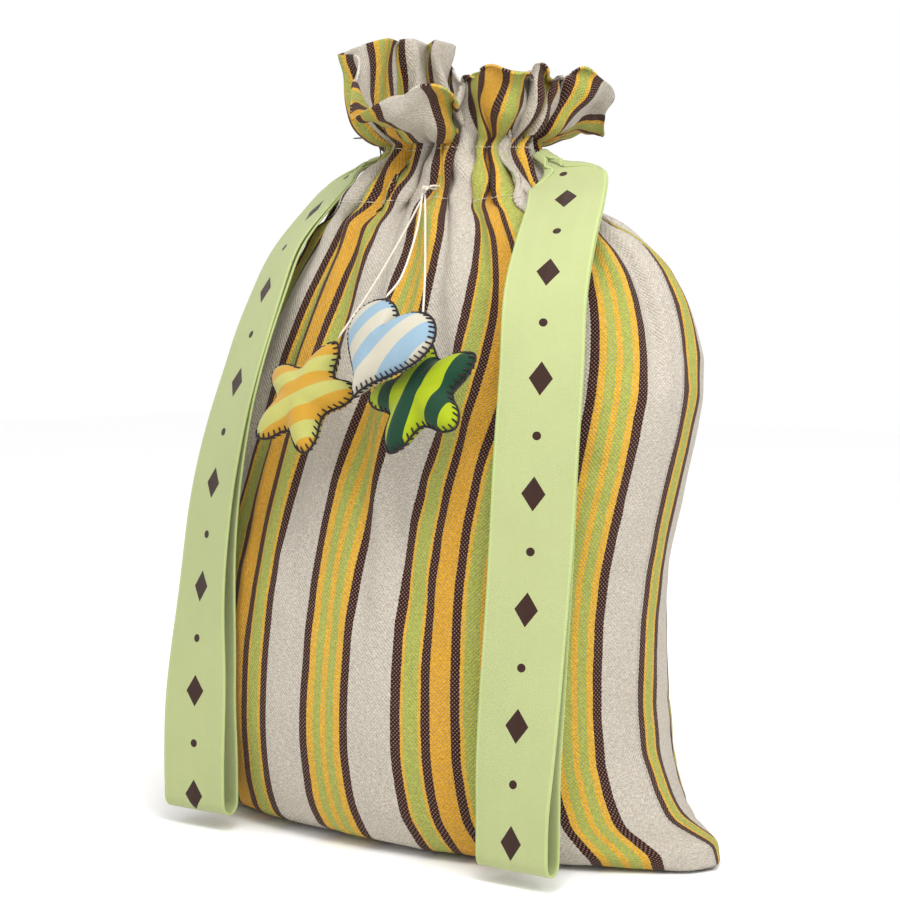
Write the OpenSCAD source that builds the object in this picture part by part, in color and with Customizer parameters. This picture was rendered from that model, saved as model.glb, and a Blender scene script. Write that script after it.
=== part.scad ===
// Drawstring laundry bag: a filled two-panel sack standing on its base, gathered at the neck by
// two wide tape loops, with three stuffed charms on threads from the front of the neck.
// X is the bag's width (right +), Y its depth (front -), Z is up, millimetres.

/* [Bag] */
// Half width of the filled bag at its belly
belly_half_width = 180; // [150:1:220]
// Half depth of the filled bag at its belly
belly_half_depth = 113; // [90:1:140]
// Height of the tightest part of the gathered neck above the floor
neck_height = 445; // [420:5:500]
// Half width of the gathered neck
neck_half_width = 60; // [50:1:80]
// Half depth of the gathered neck
neck_half_depth = 43; // [38:1:60]
// Thickness of a fabric wall with its creases
wall = 2; // [1.5:0.1:3]
// How far a bottom corner sticks out past the belly
corner_reach = 55; // [10:1:60]

/* [Heading] */
// Height of the ruffled heading above the neck
heading_height = 60; // [40:1:80]
// Half width of the mouth
mouth_half_width = 104; // [85:1:130]
// Half depth of the mouth
mouth_half_depth = 72; // [60:1:95]

/* [Casing] */
// Height of the drawstring casing below the tightest part of the neck
casing_height = 42; // [36:1:48]
// Thickness of the tapes inside the casing
casing_tape = 1.2; // [1:0.1:2]

/* [Tape loops] */
// Width of the drawstring tape
tape_width = 50; // [40:1:60]
// Thickness of the tape
tape_thickness = 1.6; // [1.2:0.1:2.5]

/* [Charms] */
// Radius of a star from its centre to a tip
star_tip = 40; // [32:1:44]
// Radius of a star from its centre to a notch
star_notch = 23; // [18:1:27]
// Half width of the heart
heart_half_width = 35; // [28:1:38]
// Half thickness of a stuffed charm
charm_puff = 11; // [8:0.5:11.5]
// Diameter of a hanging thread
thread_d = 1.6; // [1.2:0.1:1.8]

/* [Hidden] */

// ---- general helpers ----
function sgn_pow(v, p) = sign(v) * pow(abs(v), p);
function mix(a, b, t) = a + (b - a) * t;
function unit(v) = v / norm(v);
function catmull(p0, p1, p2, p3, t) =
    0.5 * (2 * p1 + (p2 - p0) * t + (2 * p0 - 5 * p1 + 4 * p2 - p3) * t * t
        + (3 * p1 - p0 - 3 * p2 + p3) * t * t * t);
// A smooth value along a list of rows, at s from 0 to len(rows) - 1
function along(rows, s) =
    let (last = len(rows) - 1, i = min(floor(s), last - 1), t = s - i)
    catmull(rows[max(i - 1, 0)], rows[i], rows[i + 1], rows[min(i + 2, last)], t);
function flatten(lists) = [for (l = lists) each l];

// Two triangles for the quad a, b, c, d
function quad(a, b, c, d) = [[a, b, c], [a, c, d]];
// Faces of an n by m grid of points that starts at index k
function grid_faces(n, m, k, flip) = [for (i = [0 : n - 2], j = [0 : m - 2])
    let (a = k + i * m + j, b = a + m)
    each (flip ? quad(a, a + 1, b + 1, b) : quad(a, b, b + 1, a + 1))];

// A solid wall between two grids of points of the same size; outer seen from outside
module wall_between(outer, inner) {
    n = len(outer);
    m = len(outer[0]);
    k = n * m;
    edges = concat(
        [for (j = [0 : m - 2]) each quad(j + 1, j, k + j, k + j + 1)],
        [for (j = [0 : m - 2]) let (a = (n - 1) * m + j) each quad(a, a + 1, k + a + 1, k + a)],
        [for (i = [0 : n - 2]) let (a = i * m) each quad(a, a + m, k + a + m, k + a)],
        [for (i = [0 : n - 2]) let (a = i * m + m - 1) each quad(a + m, a, k + a, k + a + m)]);
    polyhedron(points = concat(flatten(outer), flatten(inner)),
        faces = concat(grid_faces(n, m, 0, true), grid_faces(n, m, k, false), edges));
}

// A tube with closed cross-sections: rings[i][j]; closed joins the last ring to the first
module loft(rings, closed = false) {
    n = len(rings);
    m = len(rings[0]);
    count = closed ? n : n - 1;
    // The second half of a ring splits its quads the other way, so that thin strips stay even
    sides = [for (i = [0 : count - 1], j = [0 : m - 1])
        let (a = i * m + j, b = i * m + (j + 1) % m,
            c = ((i + 1) % n) * m + (j + 1) % m, d = ((i + 1) % n) * m + j)
        each (j < m / 2 ? quad(a, b, c, d) : quad(b, c, d, a))];
    caps = closed ? [] : [[for (j = [m - 1 : -1 : 0]) j], [for (j = [0 : m - 1]) (n - 1) * m + j]];
    polyhedron(points = flatten(rings), faces = concat(sides, caps));
}

// ---- the bag's outline ----
// Each row: height, half width, half depth, shift right, shift back, squareness, base share,
// corner reach. Base share is 1 where the wall lies flat on the floor and 0 where it stands up.
casing_low = neck_height - casing_height;
bw = belly_half_width;
bd = belly_half_depth;
nw = neck_half_width;
nd = neck_half_depth;
// The neck leans back and to the right of the base
lean_x = 8;
lean_y = 26;
seam_half = 5;
base_rows = [
    [0, bw - 20, seam_half, 0, 0, 2, 1, 0],
    [0, bw - 16, bd * 0.3, 0, 0, 2.6, 1, 4],
    [0, bw - 12, bd * 0.56, 0, 0, 2.8, 1, 14],
    [3, bw - 4, bd * 0.72, 0, 0, 2.6, 0.7, corner_reach],
    [14, bw, bd * 0.86, 0, 0, 2.4, 0.3, corner_reach * 0.9],
    [34, bw, bd * 0.96, 0, 0, 2.2, 0, corner_reach * 0.4]];
body_rows = [
    [34, bw, bd * 0.96, 0, 0, 2.2, 0, corner_reach * 0.4],
    [72, bw - 3, bd * 1.02, 0, 0, 2.2, 0, corner_reach * 0.1],
    [126, bw - 5, bd * 1.02, 0, 1, 2.2, 0, 0],
    [184, bw - 5, bd, 0, 3, 2.2, 0, 0],
    [242, bw, bd * 0.98, 5, 7, 2.2, 0, 0],
    [295, bw, bd * 0.93, 14, 13, 2.2, 0, 0],
    [338, bw - 12, bd * 0.84, 19, 20, 2.1, 0, 0],
    [372, bw - 34, bd * 0.73, 21, 25, 2, 0, 0],
    [394, bw - 64, bd * 0.6, 17, 27, 2, 0, 0],
    [casing_low, bw - 88, nd + 12, 12, lean_y, 2, 0, 0]];
neck_rows = [
    [casing_low, bw - 88, nd + 12, 12, lean_y, 2, 0, 0],
    [casing_low + casing_height * 0.3, nw + 14, nd + 6, 10, lean_y, 2, 0, 0],
    [casing_low + casing_height * 0.65, nw + 4, nd + 2, lean_x, lean_y, 2, 0, 0],
    [neck_height, nw, nd, lean_x, lean_y, 2, 0, 0]];
heading_rows = [
    [neck_height, nw, nd, lean_x, lean_y, 2, 0, 0],
    [neck_height + heading_height * 0.3, mix(nw, mouth_half_width, 0.25),
        mix(nd, mouth_half_depth, 0.25), lean_x, lean_y, 2, 0, 0],
    [neck_height + heading_height * 0.65, mix(nw, mouth_half_width, 0.65),
        mix(nd, mouth_half_depth, 0.65), lean_x, lean_y, 2, 0, 0],
    [neck_height + heading_height, mouth_half_width, mouth_half_depth, lean_x, lean_y, 2, 0, 0]];

// How suddenly a bottom corner comes to its point
ear_sharpness = 14;
// Point of a row's outline at angle t, moved inwards by inset; side -1 is the front, 1 the back
function rim(row, t, side, inset) =
    let (a = row[1] - inset * (1 - row[6]), b = row[2] - inset * (1 - row[6]) * (row[6] < 1 ? 1 : 0),
        p = 2 / row[5])
    [row[3] + a * sgn_pow(cos(t), p) + row[7] * sgn_pow(cos(t), ear_sharpness),
        row[4] + side * b * pow(sin(t), p), row[0] + inset * row[6]];

half_steps = 24;
// Angles right round the neck, matching the panels' own
round_angles = [for (i = [0 : 2 * half_steps - 1]) 180 * i / half_steps];
// Angles along one panel, from its right seam to its left seam, leaving a gap at each seam
function seam_angles(gap) = [for (j = [0 : half_steps]) mix(gap, 180 - gap, j / half_steps)];
// Rows sampled into a grid; the front runs the other way round so that its outside faces out
function half_grid(rows, side, inset, gap = 0) =
    [for (row = rows) [for (t = seam_angles(gap)) rim(row, side < 0 ? t : 180 - t, side, inset)]];
function sampled(rows, steps) =
    [for (i = [0 : steps]) along(rows, i * (len(rows) - 1) / steps)];

panel_rows = concat(
    [for (i = [0 : len(base_rows) - 2]) base_rows[i]],
    [for (i = [0 : 1]) body_rows[0] * (1 - i) + along(body_rows, 0.5) * i],
    [for (i = [2 : 18]) along(body_rows, i * 0.5)]);

module half_shell(rows, side, out_inset, in_inset, gap = 0) {
    wall_between(half_grid(rows, side, out_inset, gap), half_grid(rows, side, in_inset, gap));
}

neck_sampled = sampled(neck_rows, 6);
exit_gap = 7;
module panel(side) {
    half_shell(panel_rows, side, 0, wall);
    // The casing's outer layer, open at both side seams where the tapes come out
    half_shell(neck_sampled, side, 0, wall, exit_gap);
}

module front_panel() { color([0.86, 0.81, 0.72]) panel(-1); }
module back_panel() { color([0.84, 0.79, 0.70]) panel(1); }

module heading(side) { half_shell(sampled(heading_rows, 6), side, 0, wall + 1); }
module front_heading() { color([0.87, 0.70, 0.25]) heading(-1); }
module back_heading() { color([0.67, 0.77, 0.40]) heading(1); }

// ---- casing: lining strips and the tapes that run between them and the panels ----
fit = 0.3;
tape_a = wall + fit;
tape_b = tape_a + casing_tape + fit;
lining_in = tape_b + casing_tape + fit;
tape_rows = [for (i = [1 : 5]) neck_sampled[i]];

module front_casing() {
    color([0.80, 0.75, 0.66]) half_shell(neck_sampled, -1, lining_in, lining_in + wall * 0.6);
}
module back_casing() {
    color([0.78, 0.73, 0.64]) half_shell(neck_sampled, 1, lining_in, lining_in + wall * 0.6);
}
module casing_loop(inset) {
    loft([for (t = round_angles)
        let (side = t < 180 ? 1 : -1, u = t < 180 ? t : 360 - t)
        concat([for (row = tape_rows) rim(row, u, side, inset)],
            [for (i = [len(tape_rows) - 1 : -1 : 0])
                rim(tape_rows[i], u, side, inset + casing_tape)])],
        closed = true);
}
module left_casing_tape() { color([0.78, 0.88, 0.55]) casing_loop(tape_a); }
module right_casing_tape() { color([0.80, 0.90, 0.58]) casing_loop(tape_b); }

// ---- seams and stitching ----
seam_allowance = 9;
stitch_r = 0.6;
module side_seam(dir) {
    rows = [for (i = [6 : len(panel_rows) - 2]) panel_rows[i]];
    loft([for (row = rows)
        let (x = row[3] + dir * (row[1] + row[7] * 0.5 - wall - 1.5), z = row[0])
        [[x, row[4] + dir, z], [x, row[4] - dir, z],
            [x - dir * seam_allowance, row[4] - dir, z],
            [x - dir * seam_allowance, row[4] + dir, z]]]);
}
module left_side_seam() { color([0.80, 0.76, 0.68]) side_seam(-1); }
module right_side_seam() { color([0.80, 0.76, 0.68]) side_seam(1); }
module bottom_seam() {
    row = base_rows[0];
    front = [for (t = seam_angles(0)) rim(row, 180 - t, -1, 0)];
    back = [for (t = seam_angles(0)) rim(row, t, 1, 0)];
    color([0.82, 0.77, 0.68]) linear_extrude(wall)
        polygon(concat([for (p = front) [p[0], p[1]]],
            [for (i = [1 : len(back) - 2]) [back[i][0], back[i][1]]]));
}
// A line of thread round the outside of the neck, clear of the cloth by a small gap
module neck_stitching(row, gap) {
    loft([for (t = round_angles)
        let (side = t < 180 ? 1 : -1, u = t < 180 ? t : 360 - t)
        [for (k = [0 : 60 : 300])
            rim(row, u, side, -gap - stitch_r * (1 + cos(k))) + [0, 0, stitch_r * sin(k)]]],
        closed = true);
}
module casing_upper_stitching() { color([0.75, 0.70, 0.58]) neck_stitching(neck_sampled[5], fit); }
module casing_lower_stitching() { color([0.75, 0.70, 0.58]) neck_stitching(neck_sampled[1], 4 * fit); }
// Thread bars across the slit where a tape leaves the casing
exit_reach = 8;
bartack_gap = 1.8;
module exit_bartacks(dir) {
    for (row = [neck_sampled[2], neck_sampled[4]])
        translate([row[3] + dir * (row[1] + bartack_gap), row[4], row[0]])
            cube([1.4, 2 * exit_reach, 2.4], center = true);
}
module left_exit_bartacks() { color([0.22, 0.35, 0.20]) exit_bartacks(-1); }
module right_exit_bartacks() { color([0.22, 0.35, 0.20]) exit_bartacks(1); }

// ---- drawstring tape loops ----
// Rows down the front of each loop: x, y, z, facing angle, gap to the layer behind
left_route = [[-78, 10, 430, -34, 5], [-87, -14, 407, -32, 5], [-95, -38, 378, -30, 5],
    [-94, -59, 345, -27, 5], [-91, -81, 305, -22, 5], [-94, -96, 260, -15, 5],
    [-97, -107, 210, -12, 6], [-97, -116, 150, -6, 8], [-92, -126, 90, 4, 10],
    [-90, -130, 50, 6, 14], [-90, -130, 18, 6, 14]];
right_route = [[104, 14, 426, 12, 5], [118, -8, 405, 16, 5], [131, -36, 378, 22, 5],
    [142, -60, 345, 28, 5], [150, -74, 300, 30, 5], [152, -82, 250, 30, 6],
    [152, -87, 190, 28, 7], [152, -94, 130, 22, 8], [153, -102, 75, 12, 10],
    [154, -106, 45, 5, 13], [155, -108, 16, 4, 13]];
fold_steps = 6;
// Frames down the front, round the fold and back up behind: [point, width direction]
function tape_frames(route) =
    let (n = len(route), rows = [for (i = [0 : 2 * (n - 1)]) along(route, i / 2)],
        facing = [for (r = rows) [sin(r[3]), -cos(r[3]), 0]],
        across = [for (r = rows) [cos(r[3]), sin(r[3]), 0]],
        m = len(rows) - 1, low = rows[m])
    concat(
        [for (i = [0 : m]) [[rows[i][0], rows[i][1], rows[i][2]], across[i]]],
        [for (k = [1 : fold_steps - 1]) let (t = 180 * k / fold_steps, r = low[4] / 2)
            [[low[0], low[1], low[2]] - facing[m] * r * (1 - cos(t)) - [0, 0, r * sin(t)],
                across[m]]],
        [for (i = [m : -1 : 0])
            [[rows[i][0], rows[i][1], rows[i][2]] - facing[i] * rows[i][4], across[i]]]);
module tape_loop(route) {
    frames = tape_frames(route);
    last = len(frames) - 1;
    loft([for (i = [0 : last])
        let (ahead = frames[min(i + 1, last)][0], behind = frames[max(i - 1, 0)][0],
            along_tape = unit(ahead - behind), w0 = frames[i][1],
            w = unit(w0 - (w0 * along_tape) * along_tape) * tape_width / 2,
            out = unit(cross(along_tape, w)) * tape_thickness / 2, p = frames[i][0])
        [p - w - out, p - w + out, p + w + out, p + w - out]]);
}
module left_tape_loop() { color([0.76, 0.87, 0.52]) tape_loop(left_route); }
module right_tape_loop() { color([0.79, 0.90, 0.56]) tape_loop(right_route); }

// ---- charms ----
// The charms hang from the anchor in a plane that leans forward along the front of the bag
anchor = [30, -39, 414];
hang_slope = 29;
knot_r = 3.4;
skin = 1;
// Swing, distance below the anchor, lift off the plane and own turn, for each charm
gold_hang = [-11, 156, 5, 0];
heart_hang = [17, 138, 27.5, -32];
green_hang = [23, 160, 5, 0];

module hang(swing) {
    translate(anchor) rotate([90 - hang_slope, 0, 0]) rotate([0, 0, swing]) children();
}
outline_steps = 30;
function star_radius(t) = mix(star_notch, star_tip, pow((1 + cos(5 * (t - 90))) / 2, 1.3));
star_outline = [for (i = [0 : outline_steps - 1])
    let (t = 90 + 360 * i / outline_steps) star_radius(t) * [cos(t), sin(t)]];
// The heart's curve is 16 units from its centre line to its side, with the lobes at the top
heart_unit = heart_half_width / 16;
heart_outline = [for (i = [0 : outline_steps - 1])
    let (u = 360 * (i + 0.5) / outline_steps)
    heart_unit * [-16 * pow(sin(u), 3),
        2.5 + 13 * cos(u) - 5 * cos(2 * u) - 2 * cos(3 * u) - cos(4 * u)]];
// How far each face of a cushion stands off its middle plane, at a share r of the way to its edge
function puff(r) = charm_puff * pow(max(0, 1 - pow(r, 2.4)), 0.62);
shares = [0.04, 0.32, 0.58, 0.8, 0.94, 1];
rim_gap = 0.15;
function cushion_ring(outline, r, face, inset) =
    [for (p = outline) let (k = r * (1 - inset / norm(p)))
        [p[0] * k, p[1] * k, face * max(rim_gap, puff(r) - inset)]];
// One sewn face: a domed skin of even thickness; the back face is its mirror image
module cushion_skin(outline) {
    last = len(shares) - 1;
    loft(concat([for (r = shares) cushion_ring(outline, r, 1, 0)],
        [for (i = [last : -1 : 0]) cushion_ring(outline, shares[i], 1, skin)]));
}
module cushion_filling(outline) {
    last = len(shares) - 1;
    loft(concat([for (r = shares) cushion_ring(outline, r, 1, skin + fit)],
        [for (i = [last : -1 : 0]) cushion_ring(outline, shares[i], -1, skin + fit)]));
}
function grown(outline, by) = [for (p = outline) p * (1 + by / norm(p))];
// The thread of the blanket stitch that runs round the edge
module cushion_edging(outline) {
    translate([0, 0, -0.9]) linear_extrude(1.8) difference() {
        polygon(grown(outline, 1.5));
        polygon(grown(outline, 0.1));
    }
}
module charm(outline, pose, piece) {
    hang(pose[0]) translate([0, -pose[1], pose[2]]) rotate([0, 0, pose[3]]) {
        if (piece == "front") cushion_skin(outline);
        if (piece == "back") mirror([0, 0, 1]) cushion_skin(outline);
        if (piece == "filling") cushion_filling(outline);
        if (piece == "edging") cushion_edging(outline);
    }
}

module gold_star_front() { color([0.88, 0.68, 0.25]) charm(star_outline, gold_hang, "front"); }
module gold_star_back() { color([0.82, 0.87, 0.51]) charm(star_outline, gold_hang, "back"); }
module gold_star_filling() { color([0.95, 0.94, 0.90]) charm(star_outline, gold_hang, "filling"); }
module gold_star_edging() { color([0.16, 0.10, 0.10]) charm(star_outline, gold_hang, "edging"); }
module blue_heart_front() { color([0.63, 0.76, 0.86]) charm(heart_outline, heart_hang, "front"); }
module blue_heart_back() { color([0.63, 0.76, 0.86]) charm(heart_outline, heart_hang, "back"); }
module blue_heart_filling() {
    color([0.95, 0.94, 0.90]) charm(heart_outline, heart_hang, "filling");
}
module blue_heart_edging() { color([0.16, 0.10, 0.10]) charm(heart_outline, heart_hang, "edging"); }
module green_star_front() { color([0.08, 0.33, 0.22]) charm(star_outline, green_hang, "front"); }
module green_star_back() { color([0.65, 0.80, 0.10]) charm(star_outline, green_hang, "back"); }
module green_star_filling() {
    color([0.95, 0.94, 0.90]) charm(star_outline, green_hang, "filling");
}
module green_star_edging() { color([0.16, 0.10, 0.10]) charm(star_outline, green_hang, "edging"); }

// ---- hanging threads ----
thread_steps = 21;
// Points down each thread: distance below the anchor and lift off the hanging plane
gold_thread_route = [[5, -2], [35, -2], [75, 0], [114, 5]];
heart_thread_route = [[5, 2], [35, 4], [75, 14], [99, 27.5]];
green_thread_route = [[5, 0], [35, 0], [75, 1], [118, 5]];
module thread(route, pose) {
    path = [for (i = [0 : thread_steps]) along(route, i * (len(route) - 1) / thread_steps)];
    hang(pose[0]) loft([for (p = path)
        [for (k = [0 : 45 : 315]) [thread_d / 2 * cos(k), -p[0], p[1] - thread_d / 2 * sin(k)]]]);
}
module gold_star_thread() { color([0.90, 0.87, 0.78]) thread(gold_thread_route, gold_hang); }
module blue_heart_thread() { color([0.90, 0.87, 0.78]) thread(heart_thread_route, heart_hang); }
module green_star_thread() { color([0.90, 0.87, 0.78]) thread(green_thread_route, green_hang); }

// The knot where the threads meet, and the thread loop that ties it to the casing
module charm_knot() { color([0.90, 0.87, 0.78]) hang(0) sphere(r = knot_r, $fn = 24); }
loop_major = 5;
loop_minor = 0.8;
module charm_anchor_loop() {
    color([0.90, 0.87, 0.78])
        translate(anchor + [0, loop_major + loop_minor + knot_r + fit, 1])
            rotate([0, 90, 0]) rotate_extrude($fn = 32)
                translate([loop_major, 0]) circle(r = loop_minor, $fn = 16);
}

front_panel();
back_panel();
left_side_seam();
right_side_seam();
bottom_seam();
front_heading();
back_heading();
front_casing();
back_casing();
casing_upper_stitching();
casing_lower_stitching();
left_casing_tape();
right_casing_tape();
left_exit_bartacks();
right_exit_bartacks();
left_tape_loop();
right_tape_loop();
charm_anchor_loop();
charm_knot();
gold_star_front();
gold_star_back();
gold_star_filling();
gold_star_edging();
gold_star_thread();
blue_heart_front();
blue_heart_back();
blue_heart_filling();
blue_heart_edging();
blue_heart_thread();
green_star_front();
green_star_back();
green_star_filling();
green_star_edging();
green_star_thread();
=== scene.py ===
"""Looks of the drawstring laundry bag: striped cotton sack, lime tapes and three stuffed charms.

Metres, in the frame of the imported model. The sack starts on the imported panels' own outside, gets
pleats where the neck gathers it, is settled by a cloth simulation, and is then creased a little.
The simulation enlarges the smallest change of its start shape, so arithmetic that leads up to it
stays exactly as it is.
"""

import math

import bmesh
import bpy
import numpy as np
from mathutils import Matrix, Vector, noise
from mathutils.bvhtree import BVHTree


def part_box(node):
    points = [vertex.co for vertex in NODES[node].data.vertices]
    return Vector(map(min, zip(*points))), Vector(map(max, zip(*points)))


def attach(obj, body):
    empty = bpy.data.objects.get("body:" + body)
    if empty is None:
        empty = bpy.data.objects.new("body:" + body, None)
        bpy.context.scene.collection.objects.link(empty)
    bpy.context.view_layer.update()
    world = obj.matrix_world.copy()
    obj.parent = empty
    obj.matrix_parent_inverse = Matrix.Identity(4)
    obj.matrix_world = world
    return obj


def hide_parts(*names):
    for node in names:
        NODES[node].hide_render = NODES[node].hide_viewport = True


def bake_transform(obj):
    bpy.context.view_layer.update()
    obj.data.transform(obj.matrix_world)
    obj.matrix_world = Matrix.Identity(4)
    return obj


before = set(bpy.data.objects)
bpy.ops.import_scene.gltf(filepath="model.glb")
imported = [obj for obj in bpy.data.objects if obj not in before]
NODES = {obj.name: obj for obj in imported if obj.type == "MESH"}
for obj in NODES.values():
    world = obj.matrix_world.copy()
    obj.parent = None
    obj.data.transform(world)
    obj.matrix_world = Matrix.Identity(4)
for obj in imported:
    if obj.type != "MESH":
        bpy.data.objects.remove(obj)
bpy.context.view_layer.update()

# ---- driving sizes, metres ----
PANEL_WIDTH = 0.48
PANEL_COLUMNS = 96
CELL = PANEL_WIDTH / PANEL_COLUMNS
CLOTH_THICKNESS = 0.0016
HEADING_ROWS = 15
TAPE_WIDTH = 0.05
TAPE_THICKNESS = 0.0013
TAPE_FOLDED = 0.012
TAPE_OPENING = 0.034
THREAD_D = 0.0014
STITCH_R = 0.00022
EDGE_STITCH_R = 0.00055
FLOOR_GAP = 0.0006
LINING_DEPTH = 0.0042
CASING_TAPE_DEPTHS = {"left": 0.0022, "right": 0.0032}
SEAM_DEPTHS = np.array([0.002, 0.005, 0.008, 0.011])
BOTTOM_SEAM_HALF = 0.005
CHARM_HALF = 0.0105

# ---- sizes of the cloths' patterns, metres ----
YARN = 0.0013
CHARM_YARN = 0.00045
CHARM_STRIPE = 0.0105
TWILL = 0.0012
CHEVRON = 0.006
SELVEDGE = 0.0016
PRINT_STEP = 0.034
LOZENGE_HALF = 0.0072
DOT_RADIUS = 0.0026

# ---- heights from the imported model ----
NECK_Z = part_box("front_heading")[0].z
TOP_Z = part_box("front_heading")[1].z
CASING_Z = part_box("front_casing")[0].z


def srgb(red, green, blue):
    """Linear colour of an 8-bit display colour."""
    shares = (red / 255, green / 255, blue / 255)
    return tuple(c / 12.92 if c <= 0.04045 else ((c + 0.055) / 1.055) ** 2.4 for c in shares)


CREAM = srgb(216, 206, 191)
BROWN = srgb(52, 12, 6)
GOLD = srgb(240, 186, 50)
GREEN = srgb(182, 190, 84)
AMBER = srgb(232, 172, 38)
LIME = srgb(170, 178, 124)
PRINT = srgb(50, 26, 16)
THREAD_CREAM = srgb(214, 208, 192)
EDGE_THREAD = srgb(34, 22, 24)
TACK_GREEN = srgb(60, 92, 58)


# ---- object and mesh helpers ----
def add_object(name, data):
    obj = bpy.data.objects.new(name, data)
    bpy.context.scene.collection.objects.link(obj)
    return obj


def new_mesh(name, verts, faces):
    mesh = bpy.data.meshes.new(name)
    mesh.from_pydata(verts, [], faces)
    mesh.update()
    return mesh


def level_square(name, half):
    corners = [(-half, -half, 0), (half, -half, 0), (half, half, 0), (-half, half, 0)]
    return new_mesh(name, corners, [(0, 1, 2, 3)])


def piece(name, mesh, material, body, slot, *nodes):
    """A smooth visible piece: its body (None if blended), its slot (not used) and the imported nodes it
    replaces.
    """
    obj = add_object(name, mesh)
    mesh.materials.append(material)
    mesh.polygons.foreach_set("use_smooth", [True] * len(mesh.polygons))
    if body:
        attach(obj, body)
    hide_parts(*nodes)
    return obj


def unit(vectors, least=0.0):
    """Vectors scaled to length 1; least keeps a length of 0 from being divided by."""
    return vectors / (np.linalg.norm(vectors, axis=-1, keepdims=True) + least)


# ---- camera ----
def make_camera():
    azimuth, elevation, distance = math.radians(40), math.radians(4), 1.35
    target = Vector((0.018, 0, 0.245))
    flat = math.cos(elevation)
    back = Vector((math.sin(azimuth) * flat, -math.cos(azimuth) * flat, math.sin(elevation)))
    camera = add_object("camera", bpy.data.cameras.new("camera"))
    camera.location = target + back * distance
    camera.rotation_euler = (-back).to_track_quat("-Z", "Y").to_euler()
    camera.data.lens = 82.1
    bpy.context.scene.camera = camera


# ---- surfaces ----
def flat_grid(across, along):
    """Place on the flat cloth of a grid whose columns run across it and whose rows run along it."""
    return np.stack(np.meshgrid(across, along), axis=2)


def grid_mesh(name, points, flat=None, closed=False):
    """Mesh of an (n, m, 3) grid of points; flat holds each point's place on the flat cloth."""
    n, m = points.shape[:2]
    i, j = np.meshgrid(np.arange(n - 1), np.arange(m if closed else m - 1), indexing="ij")
    corners = [(i, j), (i, j + 1), (i + 1, j + 1), (i + 1, j)]
    faces = np.stack([a * m + b % m for a, b in corners], axis=-1).reshape(-1, 4)
    mesh = new_mesh(name, points.reshape(-1, 3).tolist(), faces.tolist())
    if flat is not None:
        layer = mesh.uv_layers.new(name="fabric")
        layer.data.foreach_set("uv", flat.reshape(-1, 2)[faces.ravel()].astype(np.float32).ravel())
    return mesh


def frames_along(path):
    """Two unit directions across a path, at each of its points."""
    ahead = unit(np.gradient(path, axis=0), 1e-12)
    across = np.empty_like(path)
    across[0] = unit(np.cross(ahead[0], (0.3, 0.2, 0.9)))
    for k in range(1, len(path)):
        across[k] = unit(across[k - 1] - ahead[k] * (across[k - 1] @ ahead[k]))
    return across, np.cross(ahead, across)


def tube_points(path, radius, sides, soft_ends):
    """Rings of a round tube along a path; soft_ends narrows its first and last ring."""
    path = np.asarray(path, float)
    across, third = frames_along(path)
    size = np.full(len(path), radius)
    if soft_ends:
        size[0] = size[-1] = radius * 0.35
    turn = np.arange(sides) * 2 * math.pi / sides
    ring = np.cos(turn)[None, :, None] * across[:, None] + np.sin(turn)[None, :, None] * third[:, None]
    return path[:, None] + ring * size[:, None, None]


def tubes_mesh(name, paths, radius, sides=6, closed=False):
    """One mesh of many tubes; closed joins each path's end to its start."""
    verts, faces = [], []
    for path in paths:
        rings = tube_points(path, radius, sides, not closed)
        base, n = len(verts), len(rings)
        verts.extend(rings.reshape(-1, 3).tolist())
        for i in range(n if closed else n - 1):
            for j in range(sides):
                a, b = base + i * sides, base + ((i + 1) % n) * sides
                faces.append((a + j, b + j, b + (j + 1) % sides, a + (j + 1) % sides))
        if not closed:
            faces.append(tuple(base + j for j in range(sides)))
            faces.append(tuple(base + (n - 1) * sides + j for j in reversed(range(sides))))
    return new_mesh(name, verts, faces)


def catmull(points, steps):
    """Smooth curve through rows of numbers, with this many steps between two rows."""
    rows = np.asarray(points, float)
    padded = np.vstack([2 * rows[0] - rows[1], rows, 2 * rows[-1] - rows[-2]])
    out = []
    for k in range(len(rows) - 1):
        p0, p1, p2, p3 = padded[k : k + 4]
        for t in np.arange(steps) / steps:
            out.append(
                0.5 * (2 * p1 + (p2 - p0) * t + (2 * p0 - 5 * p1 + 4 * p2 - p3) * t * t
                + (3 * p1 - p0 - 3 * p2 + p3) * t**3)
            )
    out.append(rows[-1])
    return np.array(out)


def resample(path, count):
    """The same path with evenly spaced points."""
    lengths = climbed(path)
    at = np.linspace(0, lengths[-1], count)
    return np.stack([np.interp(at, lengths, path[:, c]) for c in range(path.shape[1])], axis=1)


def path_length(path):
    return float(np.linalg.norm(np.diff(path, axis=0), axis=1).sum())


def climbed(path):
    """Distance along a path at each of its points."""
    return np.r_[0, np.cumsum(np.linalg.norm(np.diff(path, axis=0), axis=1))]


def thicken(obj, thickness, offset=-1.0):
    """Smooths a sheet and gives it its thickness: inwards, or to both sides where offset is 0."""
    smooth = obj.modifiers.new("smooth", "SUBSURF")
    smooth.levels = smooth.render_levels = 1
    thick = obj.modifiers.new("thick", "SOLIDIFY")
    thick.thickness = thickness
    thick.offset = offset


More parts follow.
